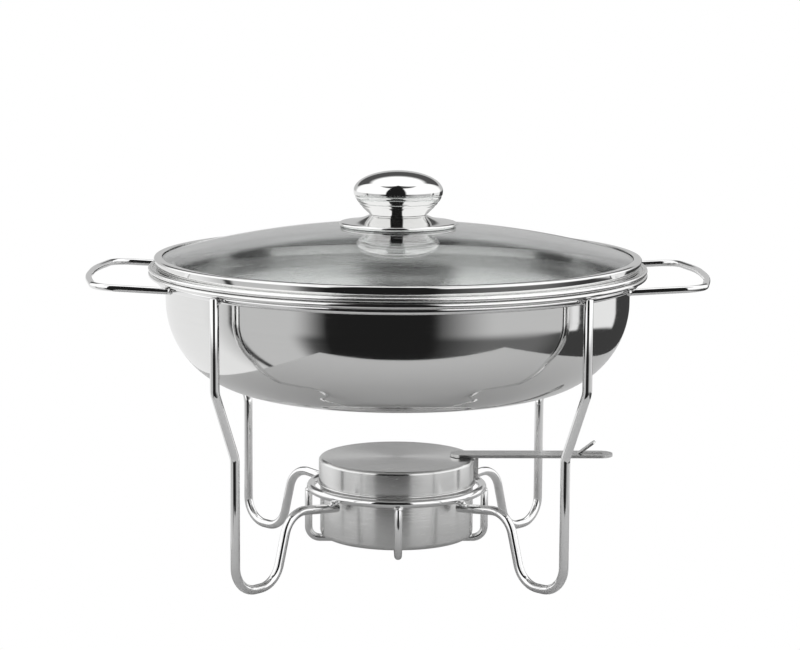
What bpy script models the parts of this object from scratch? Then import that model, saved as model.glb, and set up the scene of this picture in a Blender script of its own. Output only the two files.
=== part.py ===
"""Round table chafing dish: wire stand, fuel burner with snuffer, two nested pans, glass lid.

Metres, +Z up. The origin is on the vertical centre line at the height of the table, the two
handles point along -X and +X, and -Y is the front.
"""
import math

import bmesh
import bpy
from mathutils import Vector

# ---- Driving dimensions -------------------------------------------------------------------
GAP = 0.0003               # clearance between pieces that rest on, or are welded to, each other

# pans
PAN_RIM_R = 0.1500         # both pans end in a rolled bead of this outside radius
WATER_WALL_R = 0.1397      # outside of the water pan's wall
WATER_FLOOR_Z = 0.1082     # underside of the water pan
WATER_CORNER_R = 0.0536    # large round between its wall and its floor
WATER_SHEET = 0.0010
WATER_BEAD_R = 0.0015
FOOD_WALL_R = 0.1355
FOOD_FLOOR_Z = 0.1268
FOOD_CORNER_R = 0.0450
FOOD_SHEET = 0.0008
FOOD_BEAD_R = 0.0014

# lid
GLASS_EDGE_R = 0.1453
GLASS_SPHERE_R = 0.5290    # the dome is a shallow slice of a sphere
GLASS_THICK = 0.0040
GLASS_HOLE_R = 0.0045
BAND_R = 0.1466            # outside of the steel band round the glass
BAND_LIP_R = 0.1420        # the band folds in over the glass as far as this
BAND_SHEET = 0.0006
BAND_HEIGHT = 0.0068
LOCATING_LIP_R = 0.1342    # the band's skirt, which drops inside the food pan
LOCATING_LIP_DROP = 0.0055

# knob
KNOB_BALL_R = 0.0269
KNOB_TOP_Z = 0.2391
KNOB_WIDEST_Z = 0.2270
KNOB_NECK_R = 0.0174
KNOB_SKIRT_R = 0.0355      # the steel cone between the ball and the glass
KNOB_SKIRT_HEIGHT = 0.0069
KNOB_SPACER_R = 0.0130
KNOB_SHEET = 0.0008
SEAL_THICK = 0.0015
CLAMP_DISH_TOP_R = 0.0155
CLAMP_DISH_R = 0.0240
CLAMP_DISH_HEIGHT = 0.0050
SCREW_R = 0.0025
SCREW_HEAD_R = 0.0060
SCREW_HEAD_HEIGHT = 0.0032

# stand
WIRE_R = 0.00275           # legs and top ring
LEG_LOWER_R = 0.1335       # the leg's lower straight
LEG_UPPER_BEND_Z = 0.1218
LEG_LOWER_BEND_Z = 0.0821
LEG_KNEE_BEND = 0.0130
FOOT_BEND = 0.0155
FOOT_RISER_R = 0.1020      # where the riser inside each foot would meet the table
RISER_LEAN = 0.0114        # how far the riser leans inwards over its height
RISER_BEND = 0.0155
LEG_END_R = 0.0510         # each leg ends just inside the burner ring, under it
LEG_END_FALL = 0.10        # slope of the last stretch, falling inwards
HANDLE_WIRE_R = 0.0020
HANDLE_REACH = 0.1868      # outside of each handle from the centre line
HANDLE_HALF_WIDTH = 0.0620
HANDLE_BEND = 0.0140
HANDLE_BOW = 0.0080        # the outer end bows out beyond the corners by this much
HANDLE_TIP_HALF = 0.0200
HANDLE_TIP_BEND = 0.1500
HANDLE_DROP = 0.00085      # the handles start this much lower than the middle of the top ring
HANDLE_TILT = math.radians(3)   # and rise outwards

# burner and its seat
BURNER_RING_R = 0.0524
BURNER_RING_WIRE_R = 0.0025
BURNER_RING_Z = 0.0462
CRADLE_WIRE_R = 0.0023
CRADLE_R = 0.0538
CRADLE_Z = 0.0136
CRADLE_BEND = 0.0070
CRADLE_JOGGLE = 0.0050     # the crosswise wire dips under the lengthwise one by this much
CUP_R = 0.0467
CUP_HEIGHT = 0.0374
CUP_CORNER_R = 0.0030
CUP_SHEET = 0.0008
CAP_R = 0.0476
CAP_SKIRT_Z = 0.0482
CAP_TOP_Z = 0.0643
CAP_CORNER_R = 0.0022
CAP_SHEET = 0.0006
CAP_BEAD_R = 0.0007
STRAP_WIDTH = 0.0150
STRAP_SHEET = 0.0018
STRAP_START_X = 0.0325
STRAP_END_X = 0.1320
TONGUE_ROOT_X = 0.1115
TONGUE_LENGTH = 0.0138
TONGUE_WIDTH = 0.0050
TONGUE_ANGLE = math.radians(37)
BRACKET_WIDTH = 0.0090

# facets
BIG_STEPS = 40             # round the pans, the lid and the top ring
BURNER_STEPS = 32
KNOB_STEPS = 24
WIRE_SIDES = 8
BEND_STEPS = 5

# ---- Derived heights ----------------------------------------------------------------------
WATER_RIM_TOP = 0.1795
WATER_FLANGE_TOP = WATER_RIM_TOP - 0.0005
TOP_RING_Z = WATER_FLANGE_TOP - WATER_SHEET - GAP - WIRE_R
TOP_RING_R = WATER_WALL_R + GAP + WIRE_R
LEG_UPPER_R = TOP_RING_R + 2 * WIRE_R + GAP
LEG_TOP_Z = WATER_RIM_TOP - 2 * WATER_BEAD_R - GAP
HANDLE_Z = TOP_RING_Z - HANDLE_DROP
FOOD_RIM_TOP = WATER_RIM_TOP + GAP + 2 * FOOD_BEAD_R
FOOD_FLANGE_TOP = FOOD_RIM_TOP - 0.0014
BAND_Z = FOOD_FLANGE_TOP + GAP
GLASS_APEX_Z = 0.2068
CUP_Z = CRADLE_Z + CRADLE_WIRE_R + GAP

# ---- Colours (linear RGB, metallic, roughness) ----------------------------------------------
POLISHED_STEEL = ((0.62, 0.62, 0.61), 1.0, 0.12)
BRUSHED_STEEL = ((0.50, 0.50, 0.49), 1.0, 0.32)
CHROMED_WIRE = ((0.66, 0.66, 0.66), 1.0, 0.10)
CLEAR_GLASS = ((0.86, 0.88, 0.88), 0.0, 0.05)
SEAL_RUBBER = ((0.05, 0.05, 0.05), 0.0, 0.60)
KNOB_PLASTIC = ((0.03, 0.03, 0.03), 0.0, 0.45)


# ---- Helpers --------------------------------------------------------------------------------
def clear_scene():
    for obj in list(bpy.data.objects):
        bpy.data.objects.remove(obj, do_unlink=True)


def make_material(name, look):
    colour, metallic, roughness = look
    mat = bpy.data.materials.new(name)
    mat.use_nodes = True
    mat.diffuse_color = (*colour, 1.0)
    shader = mat.node_tree.nodes["Principled BSDF"]
    shader.inputs["Base Color"].default_value = (*colour, 1.0)
    shader.inputs["Metallic"].default_value = metallic
    shader.inputs["Roughness"].default_value = roughness
    return mat


def make_object(name, bm, look, parent):
    bmesh.ops.recalc_face_normals(bm, faces=bm.faces)
    mesh = bpy.data.meshes.new(name)
    bm.to_mesh(mesh)
    bm.free()
    mesh.shade_smooth()
    mesh.set_sharp_from_angle(angle=math.radians(35))
    mesh.materials.append(make_material(name, look))
    obj = bpy.data.objects.new(name, mesh)
    obj.parent = parent
    bpy.context.collection.objects.link(obj)
    return obj


def make_body(name):
    """An empty on the centre line that carries the pieces of one rigid body."""
    empty = bpy.data.objects.new(name, None)
    empty.empty_display_size = 0.02
    bpy.context.collection.objects.link(empty)
    return empty


def arc(centre, radius, start_deg, end_deg, steps):
    """Points on a circle in the (r, z) plane, both ends included."""
    points = []
    for i in range(steps + 1):
        angle = math.radians(start_deg + (end_deg - start_deg) * i / steps)
        points.append((centre[0] + radius * math.cos(angle), centre[1] + radius * math.sin(angle)))
    return points


def turned(name, outline, steps, look, parent):
    """Turn a closed (r, z) outline round Z; points on the axis become poles."""
    bm = bmesh.new()
    columns = []
    for r, z in outline:
        if r < 1e-6:
            columns.append([bm.verts.new((0, 0, z))] * steps)
            continue
        angles = [2 * math.pi * i / steps for i in range(steps)]
        columns.append([bm.verts.new((r * math.cos(a), r * math.sin(a), z)) for a in angles])
    for a, b in zip(columns, columns[1:] + columns[:1]):
        for i in range(steps):
            j = (i + 1) % steps
            corners = list(dict.fromkeys((a[i], a[j], b[j], b[i])))
            if len(corners) > 2:
                bm.faces.new(corners)
    return make_object(name, bm, look, parent)


def rounded_path(corners, bends, steps=BEND_STEPS):
    """A 2-D path through corners, with the inner corners rounded to the given radii."""
    path = [Vector(corners[0])]
    for before, corner, after, radius in zip(corners, corners[1:], corners[2:], bends):
        corner = Vector(corner)
        back = (Vector(before) - corner).normalized()
        ahead = (Vector(after) - corner).normalized()
        half = back.angle(ahead) / 2
        centre = corner + (back + ahead).normalized() * radius / math.sin(half)
        start = corner + back * radius / math.tan(half) - centre
        finish = corner + ahead * radius / math.tan(half) - centre
        sweep = start.angle_signed(finish)
        for i in range(steps + 1):
            angle = -sweep * i / steps
            turn_x = start.x * math.cos(angle) - start.y * math.sin(angle)
            turn_y = start.x * math.sin(angle) + start.y * math.cos(angle)
            path.append(centre + Vector((turn_x, turn_y)))
    path.append(Vector(corners[-1]))
    return path


def wire_section(centre, across, side, radius):
    """Corners of a polygon whose flats touch a circle of this radius."""
    reach = radius / math.cos(math.pi / WIRE_SIDES)
    corners = []
    for k in range(WIRE_SIDES):
        angle = 2 * math.pi * (k + 0.5) / WIRE_SIDES
        corners.append(centre + across * reach * math.cos(angle) + side * reach * math.sin(angle))
    return corners


def bent_wire(name, path, radius, place, side, look, parent):
    """Sweep a wire along a flat path; place() lifts a 2-D point into space."""
    bm = bmesh.new()
    rings = []
    for i, point in enumerate(path):
        ahead = (path[min(i + 1, len(path) - 1)] - point)
        behind = (point - path[max(i - 1, 0)])
        if ahead.length == 0:
            ahead = behind
        if behind.length == 0:
            behind = ahead
        tangent = (ahead.normalized() + behind.normalized()).normalized()
        stretch = 1 / max(tangent.dot(ahead.normalized()), 0.5)
        across = place(point + Vector((-tangent.y, tangent.x))) - place(point)
        rings.append([bm.verts.new(v) for v in
                      wire_section(place(point), across * stretch, side, radius)])
    for a, b in zip(rings, rings[1:]):
        for k in range(WIRE_SIDES):
            j = (k + 1) % WIRE_SIDES
            bm.faces.new((a[k], a[j], b[j], b[k]))
    bm.faces.new(rings[0][::-1])
    bm.faces.new(rings[-1])
    return make_object(name, bm, look, parent)


def wire_ring(name, ring_r, z, wire_r, steps, look, parent):
    outline = [(v.x, v.y) for v in
               wire_section(Vector((ring_r, z)), Vector((1, 0)), Vector((0, 1)), wire_r)]
    return turned(name, outline, steps, look, parent)


# ---- Stand ------------------------------------------------------------------------------------
def leg_end_z(r):
    """Middle of the leg wire along the last stretch, which passes under the burner ring."""
    drop = BURNER_RING_WIRE_R + WIRE_R + 1.5 * GAP
    return BURNER_RING_Z - drop + LEG_END_FALL * (r - BURNER_RING_R)


def make_leg(name, heading_deg, parent):
    """One leg: down from the top ring, in through a U-shaped foot, and back up to the burner."""
    heading = math.radians(heading_deg)
    outwards = Vector((math.cos(heading), math.sin(heading), 0))
    side = outwards.cross(Vector((0, 0, 1)))
    riser_top_r = FOOT_RISER_R - RISER_LEAN
    corners = [
        (LEG_UPPER_R, LEG_TOP_Z),
        (LEG_UPPER_R, LEG_UPPER_BEND_Z),
        (LEG_LOWER_R, LEG_LOWER_BEND_Z),
        (LEG_LOWER_R, WIRE_R),
        (FOOT_RISER_R, WIRE_R),
        (riser_top_r, leg_end_z(riser_top_r)),
        (LEG_END_R, leg_end_z(LEG_END_R)),
    ]
    bends = [LEG_KNEE_BEND, LEG_KNEE_BEND, FOOT_BEND, FOOT_BEND, RISER_BEND]
    bent_wire(name, rounded_path(corners, bends), WIRE_R,
              lambda p: outwards * p.x + Vector((0, 0, p.y)), side, CHROMED_WIRE, parent)


def make_handle(name, direction, parent):
    """A flat wire loop whose two ends meet the outside of the top ring."""
    ring_outside = TOP_RING_R + WIRE_R
    inner_edge = HANDLE_HALF_WIDTH - HANDLE_WIRE_R
    end_x = math.sqrt(ring_outside ** 2 - inner_edge ** 2) + GAP
    tip_x = HANDLE_REACH - HANDLE_WIRE_R
    reach = (tip_x - end_x) / math.cos(HANDLE_TILT)
    corner = reach - HANDLE_BOW
    corners = [(0, -HANDLE_HALF_WIDTH), (corner, -HANDLE_HALF_WIDTH), (reach, -HANDLE_TIP_HALF),
               (reach, HANDLE_TIP_HALF), (corner, HANDLE_HALF_WIDTH), (0, HANDLE_HALF_WIDTH)]
    bends = [HANDLE_BEND, HANDLE_TIP_BEND, HANDLE_TIP_BEND, HANDLE_BEND]
    along = Vector((direction * math.cos(HANDLE_TILT), 0, math.sin(HANDLE_TILT)))
    start = Vector((direction * end_x, 0, HANDLE_Z))
    bent_wire(name, rounded_path(corners, bends), HANDLE_WIRE_R,
              lambda p: start + along * p.x + Vector((0, p.y, 0)),
              along.cross(Vector((0, direction, 0))), CHROMED_WIRE, parent)


def make_cradle_wire(name, along, joggle, parent):
    """A U of wire under the burner; with a joggle its middle dips below the other one."""
    side = along.cross(Vector((0, 0, 1)))
    top_z = BURNER_RING_Z - BURNER_RING_WIRE_R - GAP
    corners = [(-CRADLE_R, top_z), (-CRADLE_R, CRADLE_Z)]
    bends = [CRADLE_BEND]
    if joggle:
        dip_start = 6 * CRADLE_WIRE_R
        dip_end = 3 * CRADLE_WIRE_R
        corners += [(-dip_start, CRADLE_Z), (-dip_end, CRADLE_Z - joggle),
                    (dip_end, CRADLE_Z - joggle), (dip_start, CRADLE_Z)]
        bends += [joggle] * 4
    corners += [(CRADLE_R, CRADLE_Z), (CRADLE_R, top_z)]
    bends += [CRADLE_BEND]
    bent_wire(name, rounded_path(corners, bends, steps=3 if joggle else BEND_STEPS),
              CRADLE_WIRE_R, lambda p: along * p.x + Vector((0, 0, p.y)), side,
              CHROMED_WIRE, parent)


def make_stand():
    stand = make_body("stand")
    wire_ring("top_ring", TOP_RING_R, TOP_RING_Z, WIRE_R, BIG_STEPS, CHROMED_WIRE, stand)
    wire_ring("burner_ring", BURNER_RING_R, BURNER_RING_Z, BURNER_RING_WIRE_R, BURNER_STEPS,
              CHROMED_WIRE, stand)
    for name, heading in (("leg_front_left", 225), ("leg_front_right", 315),
                          ("leg_rear_right", 45), ("leg_rear_left", 135)):
        make_leg(name, heading, stand)
    make_handle("handle_left", -1, stand)
    make_handle("handle_right", 1, stand)
    make_cradle_wire("cradle_wire_lengthwise", Vector((0, 1, 0)), 0, stand)
    make_cradle_wire("cradle_wire_crosswise", Vector((1, 0, 0)), CRADLE_JOGGLE, stand)


# ---- Pans ---------------------------------------------------------------------------------------
def pan_outline(wall_r, floor_z, corner_r, sheet, flange_top, rim_top, bead_r):
    """Thin pressed pan with a flat flange ending in a rolled bead."""
    bead = (PAN_RIM_R - bead_r, rim_top - bead_r)
    flange_under = flange_top - sheet
    shoulder = 0.0015                       # inside round between wall and flange
    meet_low = -180 + math.degrees(math.asin(max(-1, min(1, (bead[1] - flange_under) / bead_r))))
    meet_high = 180 - math.degrees(math.asin(max(-1, min(1, (flange_top - bead[1]) / bead_r))))
    corner = (wall_r - corner_r, floor_z + corner_r)
    outline = [(0, floor_z)]
    outline += arc(corner, corner_r, -90, 0, 7)
    outline += [(wall_r, flange_under)]
    outline += arc(bead, bead_r, meet_low, meet_high, 7)
    outline += [(wall_r - sheet + shoulder, flange_top), (wall_r - sheet, flange_top - shoulder)]
    outline += arc(corner, corner_r - sheet, 0, -90, 7)
    outline += [(0, floor_z + sheet)]
    return outline


def make_pans():
    water = pan_outline(WATER_WALL_R, WATER_FLOOR_Z, WATER_CORNER_R, WATER_SHEET,
                        WATER_FLANGE_TOP, WATER_RIM_TOP, WATER_BEAD_R)
    turned("water_pan", water, BIG_STEPS, POLISHED_STEEL, make_body("water_pan_body"))
    food = pan_outline(FOOD_WALL_R, FOOD_FLOOR_Z, FOOD_CORNER_R, FOOD_SHEET,
                       FOOD_FLANGE_TOP, FOOD_RIM_TOP, FOOD_BEAD_R)
    turned("food_pan", food, BIG_STEPS, POLISHED_STEEL, make_body("food_pan_body"))


# ---- Lid ------------------------------------------------------------------------------------------
def dome_z(r, depth=0.0):
    """Height of the glass at radius r; depth goes down through its thickness."""
    drop = GLASS_SPHERE_R - math.sqrt(GLASS_SPHERE_R ** 2 - r ** 2)
    return GLASS_APEX_Z - drop - depth


def make_glass(lid):
    rings = 4
    radii = [GLASS_HOLE_R + (GLASS_EDGE_R - GLASS_HOLE_R) * i / rings for i in range(rings + 1)]
    outline = [(r, dome_z(r)) for r in radii]
    outline += [(r, dome_z(r, GLASS_THICK)) for r in reversed(radii)]
    turned("glass_dome", outline, BIG_STEPS, CLEAR_GLASS, lid)


def make_band(lid):
    """Folded channel that holds the glass, with a skirt that locates in the food pan."""
    top = BAND_Z + BAND_HEIGHT
    skirt_end = BAND_Z - LOCATING_LIP_DROP
    inner = LOCATING_LIP_R - BAND_SHEET
    outline = [
        (inner, skirt_end),
        (LOCATING_LIP_R, skirt_end),
        (LOCATING_LIP_R, BAND_Z),
        (BAND_R, BAND_Z),
        (BAND_R, top - BAND_SHEET),
        (BAND_R - BAND_SHEET, top),
        (BAND_LIP_R, top),
        (BAND_LIP_R, top - BAND_SHEET),
        (BAND_R - BAND_SHEET, top - BAND_SHEET),
        (BAND_R - BAND_SHEET, BAND_Z + BAND_SHEET),
        (inner, BAND_Z + BAND_SHEET),
    ]
    turned("lid_band", outline, BIG_STEPS, POLISHED_STEEL, lid)


def make_washer(name, inner_r, outer_r, low_z, high_z, look, lid):
    outline = [(inner_r, low_z), (outer_r, low_z), (outer_r, high_z), (inner_r, high_z)]
    turned(name, outline, KNOB_STEPS, look, lid)


def make_knob(lid):
    """Everything on the screw through the glass: ball, cone, spacer, seals and clamping dish."""
    bore = SCREW_R + GAP

    # steel cone whose rim stands on the glass
    cone_z = dome_z(KNOB_SKIRT_R) + GAP
    cone_top = cone_z + KNOB_SKIRT_HEIGHT
    cone = [(bore, cone_top - KNOB_SHEET), (KNOB_NECK_R - KNOB_SHEET, cone_top - KNOB_SHEET),
            (KNOB_SKIRT_R - 2 * KNOB_SHEET, cone_z), (KNOB_SKIRT_R, cone_z),
            (KNOB_SKIRT_R, cone_z + KNOB_SHEET), (KNOB_NECK_R, cone_top), (bore, cone_top)]
    turned("knob_skirt", cone, KNOB_STEPS, POLISHED_STEEL, lid)

    # rubber washer on the glass and a plastic spacer between it and the cone
    seal_z = GLASS_APEX_Z + GAP
    make_washer("upper_seal", bore, CLAMP_DISH_TOP_R, seal_z, seal_z + SEAL_THICK,
                SEAL_RUBBER, lid)
    make_washer("knob_spacer", bore, KNOB_SPACER_R, seal_z + SEAL_THICK + GAP,
                cone_top - KNOB_SHEET - GAP, KNOB_PLASTIC, lid)

    # hollow pressed ball, open underneath, round a threaded core
    ball_z = cone_top + GAP
    crown_height = KNOB_TOP_Z - KNOB_WIDEST_Z
    cheek_height = KNOB_WIDEST_Z - ball_z

    def ball_surface(inset):
        """Points of the skin from the mouth up to the crown, moved inwards by inset."""
        points = []
        for i in range(5):
            t = i / 4
            r = KNOB_NECK_R + (KNOB_BALL_R - KNOB_NECK_R) * math.sin(t * math.pi / 2)
            points.append((r - inset, ball_z + cheek_height * t))
        for i in range(1, 6):
            angle = math.pi / 2 * i / 6
            points.append(((KNOB_BALL_R - inset) * math.cos(angle),
                           KNOB_WIDEST_Z + (crown_height - inset) * math.sin(angle)))
        points.append((0, KNOB_TOP_Z - inset))
        return points

    ball = ball_surface(0) + ball_surface(KNOB_SHEET)[::-1]
    turned("knob_ball", ball, KNOB_STEPS, POLISHED_STEEL, lid)
    core_r = KNOB_NECK_R - KNOB_SHEET - GAP
    core_top = KNOB_WIDEST_Z + 0.004
    screw_top = KNOB_WIDEST_Z
    core = [(bore, ball_z), (core_r, ball_z), (core_r, core_top), (0, core_top),
            (0, screw_top + GAP), (bore, screw_top + GAP)]
    turned("knob_core", core, KNOB_STEPS, KNOB_PLASTIC, lid)

    # under the glass: second seal, clamping dish and the screw's head
    seal_top = dome_z(CLAMP_DISH_TOP_R, GLASS_THICK) - GAP
    make_washer("lower_seal", bore, CLAMP_DISH_TOP_R, seal_top - SEAL_THICK, seal_top,
                SEAL_RUBBER, lid)
    dish_top = seal_top - SEAL_THICK - GAP
    dish_low = dish_top - CLAMP_DISH_HEIGHT
    dish = [(bore, dish_top - KNOB_SHEET), (CLAMP_DISH_TOP_R - KNOB_SHEET / 2, dish_top - KNOB_SHEET),
            (CLAMP_DISH_R - KNOB_SHEET, dish_low), (CLAMP_DISH_R, dish_low),
            (CLAMP_DISH_TOP_R, dish_top), (bore, dish_top)]
    turned("clamp_dish", dish, KNOB_STEPS, POLISHED_STEEL, lid)
    head_top = dish_top - KNOB_SHEET - GAP
    head_low = head_top - SCREW_HEAD_HEIGHT
    screw = [(0, head_low), (SCREW_HEAD_R * 0.55, head_low),
             (SCREW_HEAD_R, head_low + 0.4 * SCREW_HEAD_HEIGHT), (SCREW_HEAD_R, head_top),
             (SCREW_R, head_top), (SCREW_R, screw_top), (0, screw_top)]
    turned("knob_screw", screw, KNOB_STEPS // 2, POLISHED_STEEL, lid)


def make_lid():
    lid = make_body("lid")
    make_glass(lid)
    make_band(lid)
    make_knob(lid)


# ---- Burner and snuffer ---------------------------------------------------------------------------
def make_burner():
    burner = make_body("burner")
    corner = (CUP_R - CUP_CORNER_R, CUP_Z + CUP_CORNER_R)
    inner_r = CUP_R - CUP_SHEET
    cup = [(0, CUP_Z)]
    cup += arc(corner, CUP_CORNER_R, -90, 0, 3)
    cup += [(CUP_R, CUP_Z + CUP_HEIGHT), (inner_r, CUP_Z + CUP_HEIGHT)]
    cup += arc(corner, CUP_CORNER_R - CUP_SHEET, 0, -90, 3)
    cup += [(0, CUP_Z + CUP_SHEET)]
    turned("burner_cup", cup, BURNER_STEPS, BRUSHED_STEEL, burner)


def prism(bm, outline, place, thickness):
    """Closed slab between a flat outline and its copy shifted by the thickness vector."""
    below = [bm.verts.new(place(x, y)) for x, y in outline]
    above = [bm.verts.new(place(x, y) + thickness) for x, y in outline]
    bm.faces.new(below[::-1])
    bm.faces.new(above)
    for i in range(len(outline)):
        j = (i + 1) % len(outline)
        bm.faces.new((below[i], below[j], above[j], above[i]))


def make_tongue(snuffer):
    """The lanced tongue as a solid of its own, to be joined to the strap at its root."""
    root = Vector((TONGUE_ROOT_X - STRAP_SHEET / 2, 0, CAP_TOP_Z + GAP + STRAP_SHEET / 5))
    along = Vector((math.cos(TONGUE_ANGLE), 0, math.sin(TONGUE_ANGLE)))
    up = Vector((-along.z, 0, along.x))
    wide = TONGUE_WIDTH / 2
    narrow = TONGUE_WIDTH / 3
    shoulder = TONGUE_LENGTH * 0.85
    outline = [(0, -wide), (shoulder, -wide), (TONGUE_LENGTH, -narrow),
               (TONGUE_LENGTH, narrow), (shoulder, wide), (0, wide)]
    bm = bmesh.new()
    prism(bm, outline, lambda d, y: root + along * d + Vector((0, y, 0)), up * STRAP_SHEET * 0.7)
    tongue = make_object("tongue_blank", bm, BRUSHED_STEEL, snuffer)
    tongue.hide_render = True
    tongue.display_type = "WIRE"
    return tongue


def make_strap(snuffer):
    """Flat handle with round ends and a lanced tongue bent up out of its slot."""
    half = STRAP_WIDTH / 2
    low = CAP_TOP_Z + GAP
    slot_half = TONGUE_WIDTH / 2 + GAP
    slot_end = TONGUE_ROOT_X + TONGUE_LENGTH + GAP
    outline = arc((STRAP_END_X - half, 0), half, -90, 90, 8)
    outline += arc((STRAP_START_X + half, 0), half, 90, 270, 6)
    slot = [(TONGUE_ROOT_X, -slot_half), (slot_end, -slot_half),
            (slot_end, slot_half), (TONGUE_ROOT_X, slot_half)]
    bm = bmesh.new()
    prism(bm, outline, lambda x, y: Vector((x, y, low)), Vector((0, 0, STRAP_SHEET)))
    strap = make_object("handle_strap", bm, BRUSHED_STEEL, snuffer)

    bm = bmesh.new()
    prism(bm, slot, lambda x, y: Vector((x, y, low - STRAP_SHEET)), Vector((0, 0, 3 * STRAP_SHEET)))
    cutter = make_object("slot_cutter", bm, BRUSHED_STEEL, snuffer)
    cutter.hide_render = True
    cutter.display_type = "WIRE"
    for operation, other in (("DIFFERENCE", cutter), ("UNION", make_tongue(snuffer))):
        modifier = strap.modifiers.new(operation.lower(), "BOOLEAN")
        modifier.operation = operation
        modifier.object = other


def make_bracket(snuffer):
    """Upright strip that braces the strap against the side of the cap."""
    inner_x = CAP_R + GAP
    outer_x = inner_x + STRAP_SHEET
    top = CAP_TOP_Z
    low = CAP_SKIRT_Z + 2 * CAP_BEAD_R + 2 * GAP
    outline = [(inner_x, top), (inner_x, low), (outer_x, low), (outer_x, top)]
    bm = bmesh.new()
    prism(bm, outline, lambda x, z: Vector((x, -BRACKET_WIDTH / 2, z)),
          Vector((0, BRACKET_WIDTH, 0)))
    make_object("strap_bracket", bm, BRUSHED_STEEL, snuffer)


def make_snuffer():
    snuffer = make_body("snuffer")
    corner = (CAP_R - CAP_CORNER_R, CAP_TOP_Z - CAP_CORNER_R)
    bead = (CAP_R, CAP_SKIRT_Z + CAP_BEAD_R)
    inner_r = CAP_R - CAP_SHEET
    cap = [(0, CAP_TOP_Z)]
    cap += arc(corner, CAP_CORNER_R, 90, 0, 4)
    cap += arc(bead, CAP_BEAD_R, 90, -90, 3)
    cap += [(inner_r, CAP_SKIRT_Z)]
    cap += arc(corner, CAP_CORNER_R - CAP_SHEET, 0, 90, 3)
    cap += [(0, CAP_TOP_Z - CAP_SHEET)]
    turned("snuffer_cap", cap, BURNER_STEPS, BRUSHED_STEEL, snuffer)
    make_strap(snuffer)
    make_bracket(snuffer)


def main():
    clear_scene()
    make_stand()
    make_pans()
    make_lid()
    make_burner()
    make_snuffer()


main()
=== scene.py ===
import math

import bmesh
import bpy
from mathutils import Matrix, Vector, noise


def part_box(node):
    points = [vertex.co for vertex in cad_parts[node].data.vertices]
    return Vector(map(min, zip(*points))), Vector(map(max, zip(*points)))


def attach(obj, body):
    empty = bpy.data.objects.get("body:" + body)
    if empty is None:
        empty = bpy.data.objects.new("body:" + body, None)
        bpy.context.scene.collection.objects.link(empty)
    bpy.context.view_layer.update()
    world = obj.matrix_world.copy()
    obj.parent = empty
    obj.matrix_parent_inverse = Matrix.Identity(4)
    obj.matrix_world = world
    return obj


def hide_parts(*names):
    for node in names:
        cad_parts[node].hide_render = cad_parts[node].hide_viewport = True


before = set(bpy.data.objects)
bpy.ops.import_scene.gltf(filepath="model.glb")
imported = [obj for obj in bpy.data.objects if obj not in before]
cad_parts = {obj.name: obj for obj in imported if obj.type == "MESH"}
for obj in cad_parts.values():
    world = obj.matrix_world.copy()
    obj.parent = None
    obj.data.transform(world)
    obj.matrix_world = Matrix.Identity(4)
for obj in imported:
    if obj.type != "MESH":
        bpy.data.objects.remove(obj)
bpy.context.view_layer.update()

# ---- Dimensions, in metres, as the CAD has them -----------------------------------------------
GAP = 0.0003
PAN_RIM_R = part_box("water_pan")[1].x
WATER_FLOOR_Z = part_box("water_pan")[0].z
WATER_RIM_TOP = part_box("water_pan")[1].z
WATER_WALL_R = 0.1397
WATER_CORNER_R = 0.0536
WATER_SHEET = 0.0010
WATER_BEAD_R = 0.0015
WATER_FLANGE_TOP = WATER_RIM_TOP - 0.0005
FOOD_FLOOR_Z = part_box("food_pan")[0].z
FOOD_RIM_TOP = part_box("food_pan")[1].z
FOOD_WALL_R = 0.1355
FOOD_CORNER_R = 0.0450
FOOD_SHEET = 0.0008
FOOD_BEAD_R = 0.0014
FOOD_FLANGE_TOP = FOOD_RIM_TOP - 0.0014
FLANGE_SHOULDER_R = 0.0015

GLASS_EDGE_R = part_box("glass_dome")[1].x
GLASS_APEX_Z = 0.2068
GLASS_SPHERE_R = 0.5290
GLASS_THICK = 0.0040
GLASS_HOLE_R = 0.0045
BAND_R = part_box("lid_band")[1].x
BAND_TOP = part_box("lid_band")[1].z
BAND_SKIRT_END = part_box("lid_band")[0].z
BAND_Z = FOOD_FLANGE_TOP + GAP
BAND_LIP_R = 0.1420
BAND_LEAN = 0.0014
BAND_SHEET = 0.0006
BAND_TOP_FOLD_R = 0.0014
BAND_LOW_FOLD_R = 0.0008
LOCATING_LIP_R = 0.1342

KNOB_TOP_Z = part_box("knob_ball")[1].z
KNOB_MOUTH_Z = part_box("knob_ball")[0].z
KNOB_BALL_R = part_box("knob_ball")[1].x
KNOB_WIDEST_Z = 0.2270
KNOB_NECK_R = 0.0174
KNOB_SKIRT_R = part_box("knob_skirt")[1].x
KNOB_SKIRT_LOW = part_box("knob_skirt")[0].z
KNOB_SKIRT_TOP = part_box("knob_skirt")[1].z
KNOB_SHEET = 0.0008
KNOB_GROOVES_Z = (0.2239, 0.2202, 0.2180)
KNOB_GROOVE_DEPTH = 0.00034
KNOB_GROOVE_HALF = 0.00042
SKIRT_RIM_R = 0.0012
SKIRT_OUTER_PULL = (0.0235, KNOB_SKIRT_TOP - 0.0036)   # what the flare's outside bends towards
SKIRT_INNER_PULL = (0.0225, KNOB_SKIRT_TOP - 0.0044)   # and its inside
SKIRT_SHOULDER = 0.0004
BORE_R = 0.0028
SCREW_R = 0.0025
CLAMP_DISH_TOP_R = 0.0155
CLAMP_DISH_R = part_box("clamp_dish")[1].x
CLAMP_DISH_BEND = 0.0015
SEAL_EDGE_R = 0.0003
CORE_EDGE_R = 0.0005
SCREW_CROWN = 0.72                                     # domed share of the head's height
RECESS_LENGTH = 0.0062
RECESS_WIDTH = 0.0013
RECESS_HEIGHT = 0.0034                                 # half of it is inside the head
RECESS_TAPER = 0.55
RECESS_TURNS = (20, 110)                               # degrees

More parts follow.
